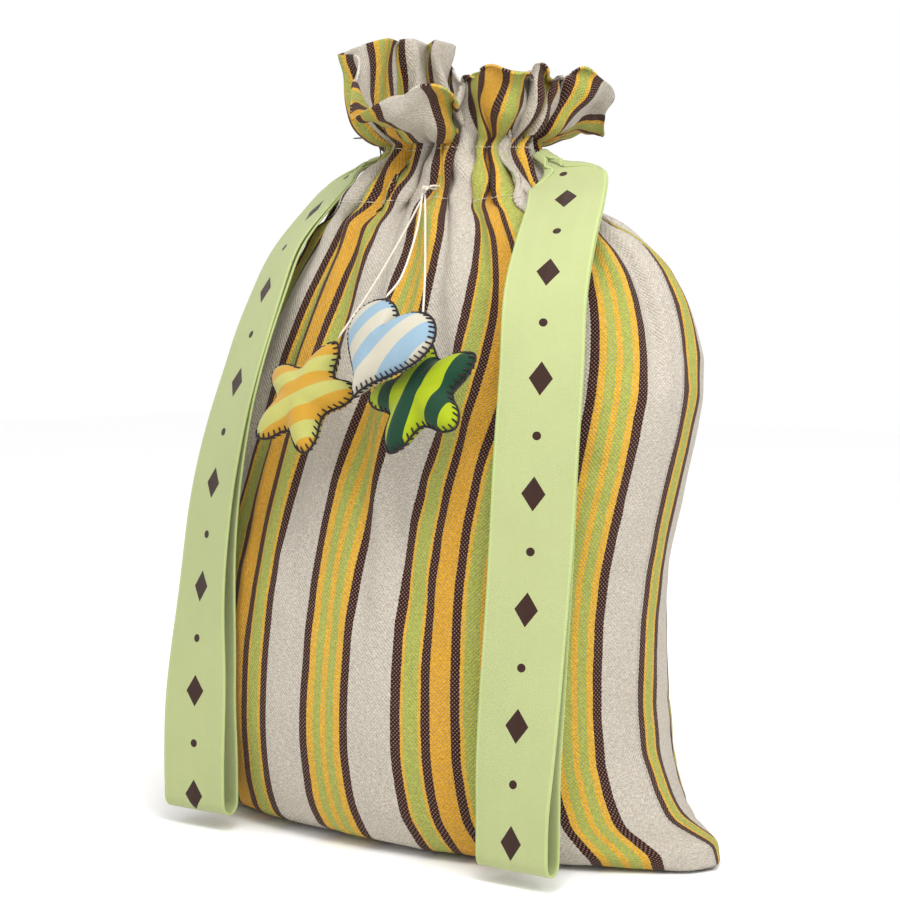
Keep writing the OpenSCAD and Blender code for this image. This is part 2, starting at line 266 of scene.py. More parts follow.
# ---- material helpers ----
class Graph:
    """A material's node tree, with short calls for the nodes used here."""

    def __init__(self, name, roughness=0.85, sheen=0.0):
        self.material = bpy.data.materials.new(name)
        self.material.use_nodes = True
        self.tree = self.material.node_tree
        self.shader = next(n for n in self.tree.nodes if n.type == "BSDF_PRINCIPLED")
        settings = {"Roughness": roughness, "Specular IOR Level": 0.25, "Sheen Weight": sheen,
                    "Sheen Roughness": 0.45}
        for socket, value in settings.items():
            self.shader.inputs[socket].default_value = value

    def feed(self, socket, value):
        if isinstance(value, bpy.types.NodeSocket):
            self.tree.links.new(value, socket)
        elif isinstance(value, tuple) and len(value) == 3 and socket.type == "RGBA":
            socket.default_value = (*value, 1.0)
        else:
            socket.default_value = value

    def math(self, operation, a, b=0.0, c=0.0):
        node = self.tree.nodes.new("ShaderNodeMath")
        node.operation = operation
        for socket, value in zip(node.inputs, (a, b, c)):
            self.feed(socket, value)
        return node.outputs[0]

    def times(self, a, b):
        return self.math("MULTIPLY", a, b)

    def plus(self, a, b):
        return self.math("ADD", a, b)

    def minus(self, a, b):
        return self.math("SUBTRACT", a, b)

    def mix(self, factor, a, b, blend="MIX"):
        node = self.tree.nodes.new("ShaderNodeMix")
        node.data_type = "RGBA"
        node.blend_type = blend
        for index, value in ((0, factor), (6, a), (7, b)):
            self.feed(node.inputs[index], value)
        return node.outputs[2]

    def shaded(self, base, shade):
        """A colour made lighter or darker by a factor."""
        return self.mix(1.0, base, self.vector(shade, shade, shade), "MULTIPLY")

    def ramp(self, value, stops):
        """Stepped colour ramp from (position, colour, alpha) stops; gives its colour and alpha."""
        node = self.tree.nodes.new("ShaderNodeValToRGB")
        ramp = node.color_ramp
        ramp.interpolation = "CONSTANT"
        while len(ramp.elements) < len(stops):
            ramp.elements.new(1.0)
        for element, (position, colour, alpha) in zip(ramp.elements, stops):
            element.position = position
            element.color = (*colour, alpha)
        self.feed(node.inputs[0], value)
        return node.outputs[0], node.outputs[1]

    def noise(self, vector, scale, detail=2.0, roughness=0.5):
        node = self.tree.nodes.new("ShaderNodeTexNoise")
        self.feed(node.inputs["Vector"], vector)
        node.inputs["Scale"].default_value = scale
        node.inputs["Detail"].default_value = detail
        node.inputs["Roughness"].default_value = roughness
        return node.outputs[0]

    def streaks(self, across, along, across_scale, along_scale, detail=1.0):
        """Noise with a fineness of its own across the cloth and along it."""
        stretched = self.vector(self.times(across, across_scale), self.times(along, along_scale))
        return self.noise(stretched, 1.0, detail)

    def vector(self, x, y, z=0.0):
        node = self.tree.nodes.new("ShaderNodeCombineXYZ")
        for socket, value in zip(node.inputs, (x, y, z)):
            self.feed(socket, value)
        return node.outputs[0]

    def fabric(self):
        """Place on the flat cloth, in metres: across, and along."""
        uv = self.tree.nodes.new("ShaderNodeUVMap")
        uv.uv_map = "fabric"
        parts = self.tree.nodes.new("ShaderNodeSeparateXYZ")
        self.tree.links.new(uv.outputs[0], parts.inputs[0])
        return parts.outputs[0], parts.outputs[1]

    def place(self):
        """Place on the object itself, in metres."""
        return self.tree.nodes.new("ShaderNodeTexCoord").outputs["Object"]

    def scaled(self, value, low, high):
        """A value from 0 to 1, spread from low to high."""
        return self.math("MULTIPLY_ADD", value, high - low, low)

    def bump(self, height, distance, strength=1.0):
        node = self.tree.nodes.new("ShaderNodeBump")
        node.inputs["Strength"].default_value = strength
        node.inputs["Distance"].default_value = distance
        self.feed(node.inputs["Height"], height)
        self.tree.links.new(node.outputs[0], self.shader.inputs["Normal"])

    def colour(self, value):
        self.feed(self.shader.inputs["Base Color"], value)
        return self.material


# ---- materials ----
KIND_CREAM, KIND_DYED, KIND_BROWN = 0.0, 0.5, 1.0
CREAM_BAND = [(3.3, CREAM, KIND_CREAM)]
EDGE_BAND = [(0.62, BROWN, KIND_BROWN)]


def dyed_group(*bands):
    """Dyed stripes of (width, colour), between two brown ones."""
    return [*EDGE_BAND, *((width, colour, KIND_DYED) for width, colour in bands), *EDGE_BAND]


NARROW_GROUP = dyed_group((0.2, GOLD), (0.8, GREEN), (0.2, GOLD))
HALF_WIDE = dyed_group((0.22, GOLD), (1.0, GREEN), (0.22, GOLD))
WIDE_GROUP = [*HALF_WIDE, (1.35, AMBER, KIND_DYED), *HALF_WIDE]
MIDDLE_GROUP = dyed_group((0.5, GOLD), (0.65, GREEN), (0.45, GOLD), (0.65, GREEN), (0.5, GOLD))
FIRST_BANDS = NARROW_GROUP + CREAM_BAND + WIDE_GROUP + CREAM_BAND + MIDDLE_GROUP + CREAM_BAND
SECOND_BANDS = WIDE_GROUP + CREAM_BAND + MIDDLE_GROUP + CREAM_BAND
FIRST_WIDTH = sum(band[0] for band in FIRST_BANDS) / 100
SECOND_WIDTH = sum(band[0] for band in SECOND_BANDS) / 100
STRIPE_START = 0.0775


# Noises that mottle the canvas: scale, detail, and the factors for its darkest and lightest
CANVAS_MOTTLES = [(22.0, 3.0, 0.94, 1.05), (700.0, 1.0, 0.74, 1.24), (420.0, 1.0, 0.8, 1.2)]


def band_stops(bands):
    """Ramp stops from bands of (width, colour, kind)."""
    total, at, stops = sum(band[0] for band in bands), 0.0, []
    for width, colour, kind in bands:
        stops.append((at / total, colour, kind))
        at += width
    return stops


def weave(g, across, along, pitch):
    """Plain weave: above 0 where a warp yarn is on top, below 0 where a weft yarn is."""
    over = g.math("SINE", g.times(across, math.pi / pitch))
    under = g.math("SINE", g.times(along, math.pi / pitch))
    return g.times(over, under)


def stripes(g, across, along):
    """Colour and kind of the warp: two runs of bands in turn, with slightly ragged edges."""
    ragged = g.streaks(across, along, 60.0, 900.0)
    drift = g.streaks(across, along, 8.0, 9.0)
    shift = g.plus(g.scaled(ragged, -0.0006, 0.0006), g.scaled(drift, -0.0012, 0.0012))
    place = g.minus(g.plus(across, shift), STRIPE_START)
    place = g.math("FLOORED_MODULO", place, FIRST_WIDTH + SECOND_WIDTH)
    first, first_kind = g.ramp(g.math("DIVIDE", place, FIRST_WIDTH), band_stops(FIRST_BANDS))
    later = g.math("DIVIDE", g.minus(place, FIRST_WIDTH), SECOND_WIDTH)
    second, second_kind = g.ramp(later, band_stops(SECOND_BANDS))
    switch = g.math("GREATER_THAN", place, FIRST_WIDTH)
    base = g.mix(switch, first, second)
    kind = g.plus(g.times(first_kind, g.minus(1.0, switch)), g.times(second_kind, switch))
    return base, kind


def canvas_material():
    """Striped hand-woven cotton: dyed warp stripes, with a cream weft that shows between them."""
    g = Graph("striped_canvas_cloth", roughness=0.92, sheen=0.04)
    across, along = g.fabric()
    base, kind = stripes(g, across, along)
    slub = g.streaks(across, along, 250.0, 1500.0, 2.0)
    streak = g.streaks(across, along, 1300.0, 200.0, 2.0)
    check = weave(g, across, along, YARN)
    weft_on_top = g.math("LESS_THAN", g.plus(check, g.scaled(slub, -0.55, 0.55)), -0.38)
    is_brown = g.math("GREATER_THAN", kind, 0.75)
    is_dyed = g.minus(g.math("GREATER_THAN", kind, 0.25), is_brown)
    weft_share = g.plus(g.times(is_brown, 0.4), g.times(is_dyed, 0.45))
    base = g.mix(g.times(weft_on_top, weft_share), base, srgb(214, 182, 160))
    shade = g.plus(g.scaled(slub, 0.44, 0.94), g.scaled(streak, -0.12, 0.12))
    flat = g.vector(across, along)
    for scale, detail, low, high in CANVAS_MOTTLES:
        shade = g.times(shade, g.scaled(g.noise(flat, scale, detail), low, high))
    shade = g.times(shade, g.scaled(check, 1.0, 1.06))
    soft = g.noise(g.vector(across, g.times(along, 0.6)), 34.0, 2.0)
    height = g.times(check, 0.5)
    for part, share in ((slub, 0.9), (streak, 0.5), (soft, 9.0)):
        height = g.plus(height, g.times(part, share))
    g.bump(height, 0.0006, 0.9)
    return g.colour(g.shaded(base, shade))


def tape_material():
    """Lime herringbone tape with a plain row of printed lozenges and dots."""
    g = Graph("herringbone_tape", roughness=0.7, sheen=0.12)
    across, along = g.fabric()
    chevron = g.math("PINGPONG", across, CHEVRON)
    twill = g.math("SINE", g.times(g.plus(along, chevron), 2 * math.pi / TWILL))
    flat = g.vector(across, along)
    cloud, fine = g.noise(flat, 30.0), g.noise(flat, 1400.0)
    middle = g.math("ABSOLUTE", g.minus(across, TAPE_WIDTH / 2))
    edge = g.math("GREATER_THAN", middle, TAPE_WIDTH / 2 - SELVEDGE)
    step = g.math("PINGPONG", along, PRINT_STEP)
    lozenge = g.math("LESS_THAN", g.plus(middle, g.times(step, 0.7)), LOZENGE_HALF)
    far = g.minus(PRINT_STEP, step)
    squares = g.plus(g.math("POWER", middle, 2.0), g.math("POWER", far, 2.0))
    dot = g.math("LESS_THAN", g.math("SQRT", squares), DOT_RADIUS)
    ink = g.math("MINIMUM", g.plus(lozenge, dot), 1.0)
    shade = g.plus(g.scaled(twill, 0.985, 1.015), g.scaled(fine, -0.06, 0.05))
    shade = g.times(shade, g.scaled(cloud, 0.94, 1.04))
    base = g.mix(ink, g.mix(g.times(edge, 0.35), LIME, srgb(188, 210, 130)), PRINT)
    g.bump(g.plus(g.times(twill, 0.6), fine), 0.00025, 0.6)
    return g.colour(g.shaded(base, shade))


def charm_material(name, first, second, turn):
    """Smooth cotton in two colours, with straight stripes turned by an angle on the flat cloth."""
    g = Graph(name, roughness=0.75, sheen=0.15)
    across, along = g.fabric()
    sideways = g.times(across, math.cos(turn))
    tilted = g.plus(sideways, g.times(along, math.sin(turn)))
    switch = g.math("GREATER_THAN", g.math("FLOORED_MODULO", tilted, 2 * CHARM_STRIPE), CHARM_STRIPE)
    flat = g.vector(across, along)
    cloud, fine = g.noise(flat, 60.0), g.noise(flat, 1100.0)
    check = weave(g, across, along, CHARM_YARN)
    shade = g.times(g.scaled(fine, 0.92, 1.08), g.scaled(cloud, 0.93, 1.05))
    g.bump(g.plus(g.times(check, 0.5), fine), 0.0002, 0.5)
    return g.colour(g.shaded(g.mix(switch, first, second), shade))


def yarn_material(name, colour):
    """Twisted thread: fine strands with a little fuzz."""
    g = Graph(name, roughness=0.8, sheen=0.2)
    place = g.place()
    cloud, strands = g.noise(place, 300.0), g.noise(place, 2500.0)
    shade = g.times(g.scaled(strands, 0.75, 1.2), g.scaled(cloud, 0.9, 1.08))
    g.bump(strands, 0.0003, 0.8)
    return g.colour(g.shaded(colour, shade))


def filling_material():
    g = Graph("fibre_filling", roughness=1.0, sheen=0.3)
    clump = g.noise(g.place(), 180.0, 4.0, 0.7)
    g.bump(clump, 0.002, 0.9)
    return g.colour(g.shaded(srgb(240, 238, 230), g.scaled(clump, 0.8, 1.05)))


# ---- cloth simulation ----
def collision_floor():
    """A floor for cloth to land on, for as long as it settles."""
    ground = add_object("ground", level_square("ground", 1))
    ground.modifiers.new("solid", "COLLISION")
    ground.collision.thickness_outer = 0.001
    return ground


def add_cloth(obj, rest_key, frames, pressure, gravity, floor, bending, mass):
    """Woven cotton, held by the pins and blown out by an even pressure."""
    cloth = obj.modifiers.new("cloth", "CLOTH")
    settings = {
        "quality": 6, "mass": mass, "tension_stiffness": 25, "compression_stiffness": 25,
        "shear_stiffness": 8, "bending_stiffness": bending, "air_damping": 3,
        "vertex_group_mass": "pins", "use_pressure": True, "uniform_pressure_force": pressure,
        "vertex_group_pressure": "inflated", "rest_shape_key": rest_key,
    }
    for setting, value in settings.items():
        setattr(cloth.settings, setting, value)
    cloth.settings.effector_weights.gravity = gravity
    cloth.collision_settings.use_collision = floor
    cloth.collision_settings.distance_min = 0.001
    cloth.collision_settings.use_self_collision = False
    cloth.point_cache.frame_start = 1
    cloth.point_cache.frame_end = frames + 1


def settle(mesh, rest, pins, inflated, frames, pressure, gravity, floor, bending, mass=0.05):
    """Points of the mesh after Blender's cloth has settled it from its rest lengths.

    pins and inflated are weights per point; rest is the same points on the flat cloth.
    """
    scene = bpy.context.scene
    obj = add_object("settling", mesh)
    obj.shape_key_add(name="Basis")
    key = obj.shape_key_add(name="flat")
    key.data.foreach_set("co", rest.ravel())
    key.value = 0.0
    for name, weights in (("pins", pins), ("inflated", inflated)):
        group = obj.vertex_groups.new(name=name)
        for index in np.flatnonzero(weights > 0):
            group.add([int(index)], float(weights[index]), "REPLACE")
    ground = collision_floor() if floor else None
    add_cloth(obj, key, frames, pressure, gravity, floor, bending, mass)
    for number in range(1, frames + 1):
        scene.frame_set(number)
    settled = obj.evaluated_get(bpy.context.evaluated_depsgraph_get()).data
    points = np.empty(len(settled.vertices) * 3)
    settled.vertices.foreach_get("co", points)
    bpy.data.objects.remove(obj)
    if ground:
        bpy.data.objects.remove(ground)
    scene.frame_set(1)
    return points.reshape(-1, 3)


# ---- the sack ----
def node_tree(*names):
    """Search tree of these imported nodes' surfaces."""
    bm = bmesh.new()
    for name in names:
        bm.from_mesh(NODES[name].data)
    tree = BVHTree.FromBMesh(bm)
    bm.free()
    return tree


def wall_y(tree, x, z, side):
    """Outer face of the wall at x, z, seen from the front (side -1) or the back (1)."""
    place = tree.ray_cast(Vector((x, side, z)), Vector((0, -side, 0)))[0]
    return None if place is None else place.y


def reach(tree, z, side):
    """The x where the walls end at height z, on the left (-1) or the right (1)."""
    inside, outside = 0.0, 0.3 * side
    for _ in range(22):
        middle = (inside + outside) / 2
        if wall_y(tree, middle, z, -1) is None:
            outside = middle
        else:
            inside = middle
    return inside


def outline(tree, z):
    """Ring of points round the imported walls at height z: the front from left to right, then back."""
    left, right = reach(tree, z, -1), reach(tree, z, 1)
    turn = np.linspace(0, math.pi, 181)
    xs = (left + right) / 2 - (right - left) / 2 * np.cos(turn) * 0.9999
    halves = []
    for side, order in ((-1, xs), (1, xs[::-1])):
        hits = [(x, wall_y(tree, x, z, side)) for x in order]
        halves.append(resample(np.array([h for h in hits if h[1] is not None]), PANEL_COLUMNS + 1))
    front, back = halves
    front[0] = back[-1] = (front[0] + back[-1]) / 2
    front[-1] = back[0] = (front[-1] + back[0]) / 2
    ring = np.vstack([front[:-1], back[:-1]])
    return np.c_[ring, np.full(len(ring), z)]


def base_rows(first, count):
    """Rows across the base, from the bottom seam out to the first standing row."""
    rows = []
    for share in np.linspace(0, 1, count, endpoint=False):
        row = first.copy()
        row[:, 0] = first[:, 0] * (0.98 + 0.02 * share)
        row[:, 1] = first[:, 1] * share + np.sign(first[:, 1]) * 0.001 * (1 - share)
        row[:, 2] = FLOOR_GAP + 0.002 * share**2
        rows.append(row)
    return rows


def sack_guide():
    """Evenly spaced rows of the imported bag's outside, from the bottom seam to the mouth."""
    tree = node_tree("front_panel", "back_panel", "front_heading", "back_heading")
    heights = np.r_[0.003, 0.008, np.linspace(0.014, TOP_Z - FLOOR_GAP, 400)]
    standing = [outline(tree, z) for z in heights]
    rings = np.array(base_rows(standing[0], 12) + standing)
    middle = PANEL_COLUMNS // 2
    climb = climbed(rings[:, middle])
    count = int(round(climb[-1] / CELL)) + 1
    at = np.linspace(0, climb[-1], count)
    columns = rings.reshape(len(rings), -1).T
    even = np.stack([np.interp(at, climb, column) for column in columns], axis=1)
    return even.reshape(count, -1, 3)


def perimeter(ring):
    return float(np.linalg.norm(ring - np.roll(ring, -1, axis=0), axis=1).sum())


def outward(ring):
    """Level directions that point out of a ring of points."""
    tangent = np.roll(ring, -1, axis=0) - np.roll(ring, 1, axis=0)
    tangent = unit(tangent * (1, 1, 0))
    return np.c_[tangent[:, 1], -tangent[:, 0], np.zeros(len(ring))]


# Tucks of the gathered neck, round from the left seam: column, how far down it runs (0 to 1), and lean
TUCKS = [
    (2, 0.1, 2.5), (10, 1.0, -3), (20, 0.3, 3), (29, 0.75, -3.5), (35, 0.05, 3), (44, 0.55, -3),
    (50, 0.1, 2), (56, 1.0, -3), (62, 0.1, 2.5), (69, 0.3, -2), (74, 0.85, 4), (80, 0.05, -2),
    (84, 0.35, 2), (91, 1.0, -4), (96, 0.1, 2), (104, 0.7, -3), (110, 0.1, 2.5), (119, 0.5, -3),
    (126, 1.0, 2), (134, 0.15, -2), (141, 0.8, 3), (150, 0.1, -2), (155, 0.9, 2.5),
    (163, 0.2, -2.5), (171, 0.8, 2), (178, 0.1, -3), (186, 0.7, 3),
]
# The mouth's edge in millimetres from the neck, seen from the front right corner: column, then
# across, towards the viewer and up
MOUTH = [
    (4, -48, -46, 82), (10, -62, -24, 74), (16.5, -82, 0, 64), (21, -64, 10, 62), (26, -68, 30, 46),
    (31, -72, 48, 30), (34, -72, 60, 19), (37.5, -62, 72, 24), (41, -48, 80, 32), (45, -30, 86, 37),
    (47, -21, 88, 39), (49.5, -9, 84, 36), (52.5, -1, 74, 27), (56, -4, 58, 20), (60.5, 1, 46, 39),
    (63.5, 4, 62, 43), (66.5, 9, 76, 44), (69.5, 22, 82, 44), (73, 38, 72, 42), (78, 42, 46, 39),
    (81, 45, 60, 49), (82.5, 53, 62, 45), (87, 54, 38, 40), (90, 59, 52, 46), (94, 64, 32, 41),
    (97.5, 73, 46, 50), (101, 86, 36, 43), (105, 95, 18, 40), (108, 91, 6, 28), (112, 93, -10, 15),
    (117, 86, -34, 24), (120.5, 84, -48, 34), (124.5, 72, -56, 48), (128.5, 62, -38, 46),
    (134.5, 54, -66, 52), (138, 42, -66, 61), (143, 36, -44, 52), (149, 22, -70, 56),
    (151.5, 12, -70, 56), (156.5, 6, -46, 50), (159, -1, -54, 54), (162, -1, -64, 62),
    (165.5, -5, -74, 70), (170, -10, -74, 80), (176, -20, -50, 82), (181.5, -26, -74, 83),
    (186.5, -34, -54, 83), (191, -43, -68, 83),
]
# How far round the ring the neck's cloth is drawn to the right, by column
DRAWN_COLUMNS = (0, 20, 48, 75, 96, 140, 192)
DRAWN = (0, 2, 12, 8, 3, 0, 0)


def smooth_step(value):
    value = np.clip(value, 0, 1)
    return value * value * (3 - 2 * value)


def round_table(values, count):
    """A table around the ring with its first entries repeated one turn on."""
    values = np.asarray(values, float)
    return np.concatenate([values, values[:1] + count])


def around(row, place):
    """Points of a closed row at these fractional columns."""
    count = len(row)
    low = np.floor(place).astype(int)
    share = (place - low)[:, None]
    return row[low % count] * (1 - share) + row[(low + 1) % count] * share


def tucked(row, gather):
    """One level row drawn in: tucks take up the cloth that the ring has no room for."""
    count, height = len(row), row[0, 2]
    columns, runs, leans = (np.array(part, float) for part in zip(*TUCKS))
    widths = np.diff(round_table(columns, count)) * CELL
    ring_width = np.cumsum(np.r_[0, widths**0.6])
    drawn = columns[0] + ring_width / ring_width[-1] * count
    drawn = drawn + np.interp(drawn % count, DRAWN_COLUMNS, DRAWN)
    even = round_table(columns, count)
    order = np.arange(len(even)) % len(columns)
    wobble = 0.9 * np.sin(height * 2 * math.pi / 0.065 + 1.7 * order)
    place = even * (1 - gather) + (drawn + wobble) * gather
    fade = smooth_step((height - NECK_Z + 0.025 + 0.19 * runs) / 0.045)
    size = (widths + np.roll(widths, 1)) / 2
    spare = max(2 * PANEL_WIDTH - perimeter(row), 0)
    depth = np.minimum(fade * size * spare / (2 * np.sum(fade * size) + 1e-9), np.minimum(0.46 * size, 0.026))
    steps = np.arange(count) + 0.0
    steps[steps < columns[0]] += count
    ridge = np.searchsorted(even, steps, side="right") - 1
    part = (steps - even[ridge]) / (even[ridge + 1] - even[ridge])
    after = (ridge + 1) % len(columns)
    sharp = 0.62 + 0.5 * (1 - gather)
    tuck = 1 - np.sin(math.pi * part) ** sharp
    share = part - np.sin(2 * math.pi * part) / (2 * math.pi) * 0.85 * gather
    lean = np.where(part < 0.5, leans[ridge], leans[after]) * tuck * gather
    at = place[ridge] * (1 - share) + place[ridge + 1] * share + lean
    inwards_by = (depth[ridge] * (1 - part) + depth[after] * part) * tuck
    return around(row, at) - around(outward(row), at) * inwards_by[:, None]


def mouth_edge(count):
    """The heading's free edge, one point per column."""
    rows = np.array(MOUTH, float)
    turns = np.vstack([rows[-3:] - (count, 0, 0, 0), rows, rows[:3] + (count, 0, 0, 0)])
    curve = catmull(turns, 8)
    at = np.stack([np.interp(np.arange(count), curve[:, 0], curve[:, k]) for k in (1, 2, 3)], axis=1) / 1000
    turn = math.radians(40)
    ring = neck_centre() + np.outer(at[:, 0], (math.cos(turn), math.sin(turn), 0))
    ring += np.outer(at[:, 1], (math.sin(turn), -math.cos(turn), 0)) + np.outer(at[:, 2], (0, 0, 1))
    return ring


def neck_centre():
    low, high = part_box("front_heading"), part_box("back_heading")
    return np.array(((low[0].x + low[1].x) / 2, (low[0].y + high[1].y) / 2, NECK_Z))


def heading(neck):
    """Rows from the drawn-in neck up and over to the mouth's edge."""
    edge = mouth_edge(len(neck))
    span = edge - neck
    chord = np.linalg.norm(span, axis=1)
    slack = np.maximum(HEADING_ROWS * CELL - chord, 0)
    level = unit(span * (1, 1, 0), 1e-9)
    leave = level * (1.3 * chord)[:, None] + np.outer(0.1 * chord + 1.2 * slack, (0, 0, 1.0))
    arrive = span * 0.7 - np.outer(1.3 * slack, (0, 0, 1.0))
    rows = []
    for t in np.arange(1, HEADING_ROWS + 1) / HEADING_ROWS:
        h10, h01, h11 = t**3 - 2 * t**2 + t, 3 * t**2 - 2 * t**3, t**3 - t**2
        rows.append(neck * (1 - h01) + edge * h01 + leave * h10 + arrive * h11)
    return rows


def puffed(row):
    """A row with the fuller shoulders and the tighter neck of soft cloth."""
    height = row[0, 2]
    left = smooth_step((neck_centre()[0] + 0.02 - row[:, :1]) / 0.06)
    shoulder = 0.004 * math.exp(-(((height - 0.375) / 0.05) ** 2))
    bulge = 0.015 * math.exp(-(((height - 0.412) / 0.024) ** 2)) * left
    pinch = 0.004 * math.exp(-(((height - NECK_Z) / 0.012) ** 2))
    return row + outward(row) * (shoulder + bulge - pinch)


def crumpled(points, levels):
    """The settled cloth with small slanting creases, strongest round the neck."""
    columns = points.shape[1]
    normals = inwards(points)
    turn = np.arange(columns) * 2 * math.pi / columns
    creased = points.copy()
    for k, level in enumerate(levels):
        near = math.exp(-(((level - 0.425) / 0.035) ** 2)) if level < 1 else 0.5
        size = 0.0006 + 0.0075 * near
        slant = turn + k * 0.02
        place = np.stack([6 * np.cos(slant), 6 * np.sin(slant), np.full(columns, k * 0.2)], axis=1)
        lift = np.array([noise.noise(Vector(spot)) for spot in place])
        drift = np.array([noise.noise(Vector(spot * (0.6, 0.6, 0.8)) + Vector((9, 4, 7))) for spot in place])
        along = unit(np.roll(points[k], -1, axis=0) - np.roll(points[k], 1, axis=0), 1e-9)
        creased[k] += along * (0.012 * near * drift)[:, None] - normals[k] * (size * lift)[:, None]
    return creased


def gathered(guide):
    """The guide rows with the tucks that take up the cloth's whole width, and the heading on top."""
    rows = [puffed(row) for row in guide if row[0, 2] <= NECK_Z + CELL / 2]
    ratio = np.array([2 * PANEL_WIDTH / perimeter(row) for row in rows])
    standing = np.array([row[0, 2] > CASING_Z / 2 for row in rows])
    gather = np.where(standing, smooth_step((ratio - 1.05) / 1.6), 0)
    drawn = [tucked(row, g) if s and r > 1.02 else row for row, g, s, r in zip(rows, gather, standing, ratio)]
    return np.array(drawn + heading(drawn[-1]))


def sack_rest(rows, height):
    """The same points on the flat cloth: a tube pressed flat."""
    columns = 2 * PANEL_COLUMNS
    across = np.r_[np.arange(PANEL_COLUMNS + 1), np.arange(PANEL_COLUMNS - 1, 0, -1)] * CELL
    flat = np.zeros((rows, columns, 3))
    flat[:, :, 0] = across
    flat[:, : PANEL_COLUMNS, 1] = -0.001
    flat[:, PANEL_COLUMNS + 1 :, 1] = 0.001
    flat[:, :, 2] = np.linspace(0, height, rows)[:, None]
    return flat


def sack_mesh(points):
    """Closed mesh of the sack's rings, with the bottom seam joined."""
    mesh = grid_mesh("settling_sack", points, closed=True)
    bm = bmesh.new()
    bm.from_mesh(mesh)
    bm.verts.ensure_lookup_table()
    columns = 2 * PANEL_COLUMNS
    for j in range(PANEL_COLUMNS):
        corners = []
        for index in (j, (columns - j) % columns, (columns - j - 1) % columns, j + 1):
            if bm.verts[index] not in corners:
                corners.append(bm.verts[index])
        bm.faces.new(corners)
    bm.to_mesh(mesh)
    bm.free()
    return mesh


def sack_points():
    """The settled sack as rows of points, and the flat cloth's height."""
    guide = sack_guide()
    start = gathered(guide)
    height = (len(start) - 1) * CELL
    level = np.full(start.shape[:2], 1.0)
    level[: len(start) - HEADING_ROWS] = guide[: len(start) - HEADING_ROWS, :1, 2]
    held = (np.abs(level - NECK_Z) < 0.004).astype(float)
    held[np.abs(level - CASING_Z - 0.004) < 0.004] = 0.5
    held[-1] = 0.12
    inflated = (level < NECK_Z).astype(float)
    rest = sack_rest(len(start), height).reshape(-1, 3)
    settled = settle(sack_mesh(start), rest, held.ravel(), inflated.ravel(), 20, pressure=4.0,
                     gravity=0.3, floor=True, bending=0.2)
    return crumpled(settled.reshape(start.shape), level[:, 0]), height


def halves(rings, climb):
    """The front and the back half of rings of cloth, split at the side seams, as two meshes."""
    for side, start in (("front", 0), ("back", PANEL_COLUMNS)):
        columns = start + np.arange(PANEL_COLUMNS + 1)
        half = rings[:, columns % (2 * PANEL_COLUMNS)]
        yield side, grid_mesh(side, half, flat_grid(columns * CELL, climb))


def make_sack(points, height, canvas):
    for side, mesh in halves(points, np.linspace(0, height, len(points))):
        replaced = (f"{side}_panel", f"{side}_heading")
        cloth = piece(f"{side}_cloth", mesh, canvas, "bag", "striped_canvas", *replaced)
        thicken(cloth, CLOTH_THICKNESS)


def inwards(points):
    """Unit directions from the sack's rows towards its inside."""
    normals = unit(np.cross(np.gradient(points, axis=1), np.gradient(points, axis=0)), 1e-12)
    return -normals * np.sign(np.mean(normals[:, :, 0] * (points[:, :, 0] - points[:, :, 0].mean())))


def make_casing(points, height, canvas, tape):
    """Lining strips behind the casing, and the two tapes that run round in it."""
    below = points[: len(points) - HEADING_ROWS, 0, 2]
    rows = np.flatnonzero((below > CASING_Z + 0.002) & (below < NECK_Z + 0.001))
    band = points[rows]
    inside = inwards(band)
    climb = np.linspace(0, height, len(points))[rows]
    for side, mesh in halves(band + inside * LINING_DEPTH, climb):
        lining = piece(f"{side}_casing_lining", mesh, canvas, "bag", "lining", f"{side}_casing")
        thicken(lining, CLOTH_THICKNESS / 2)
    for side, depth in CASING_TAPE_DEPTHS.items():
        ring = band + inside * depth
        ring = np.concatenate([ring, ring[:, :1]], axis=1)
        flat = flat_grid(np.linspace(0, TAPE_WIDTH, len(rows)), np.arange(ring.shape[1]) * CELL)
        mesh = grid_mesh("tape_in_casing", ring, flat.transpose(1, 0, 2))
        loop = piece(f"{side}_tape_in_casing", mesh, tape, "bag", "tape", f"{side}_casing_tape")
        thicken(loop, 0.0006)
        run = path_length(ring[len(rows) // 2])


def stitch_paths(path, length, gap, lift):
    """Short stitches along a path of points and outward directions."""
    track = np.hstack([path, lift])
    total = path_length(path)
    count = max(2, int(total / (length + gap)))
    fine = resample(track, count * 8 + 1)
    paths = []
    for k in range(count):
        part = fine[k * 8 : k * 8 + 7]
        arch = np.sin(np.linspace(0, math.pi, len(part)))[:, None]
        paths.append(part[:, :3] + part[:, 3:] * (0.0002 + STITCH_R * arch))
    return paths


def make_stitching(points, thread):
    """The two rows of stitches that close the casing, following every pleat."""
    outside = -inwards(points)
    levels = {"casing_upper_stitching": NECK_Z - 0.003, "casing_lower_stitching": CASING_Z + 0.004}
    for name, level in levels.items():
        row = int(np.argmin(np.abs(points[: len(points) - HEADING_ROWS, PANEL_COLUMNS // 2, 2] - level)))
        path = np.vstack([points[row], points[row][:1]])
        lift = np.vstack([outside[row], outside[row][:1]])
        stitches = tubes_mesh(name, stitch_paths(path, 0.0032, 0.0012, lift), STITCH_R)
        piece(f"{name}_thread", stitches, thread, "bag", "sewing_thread", name)


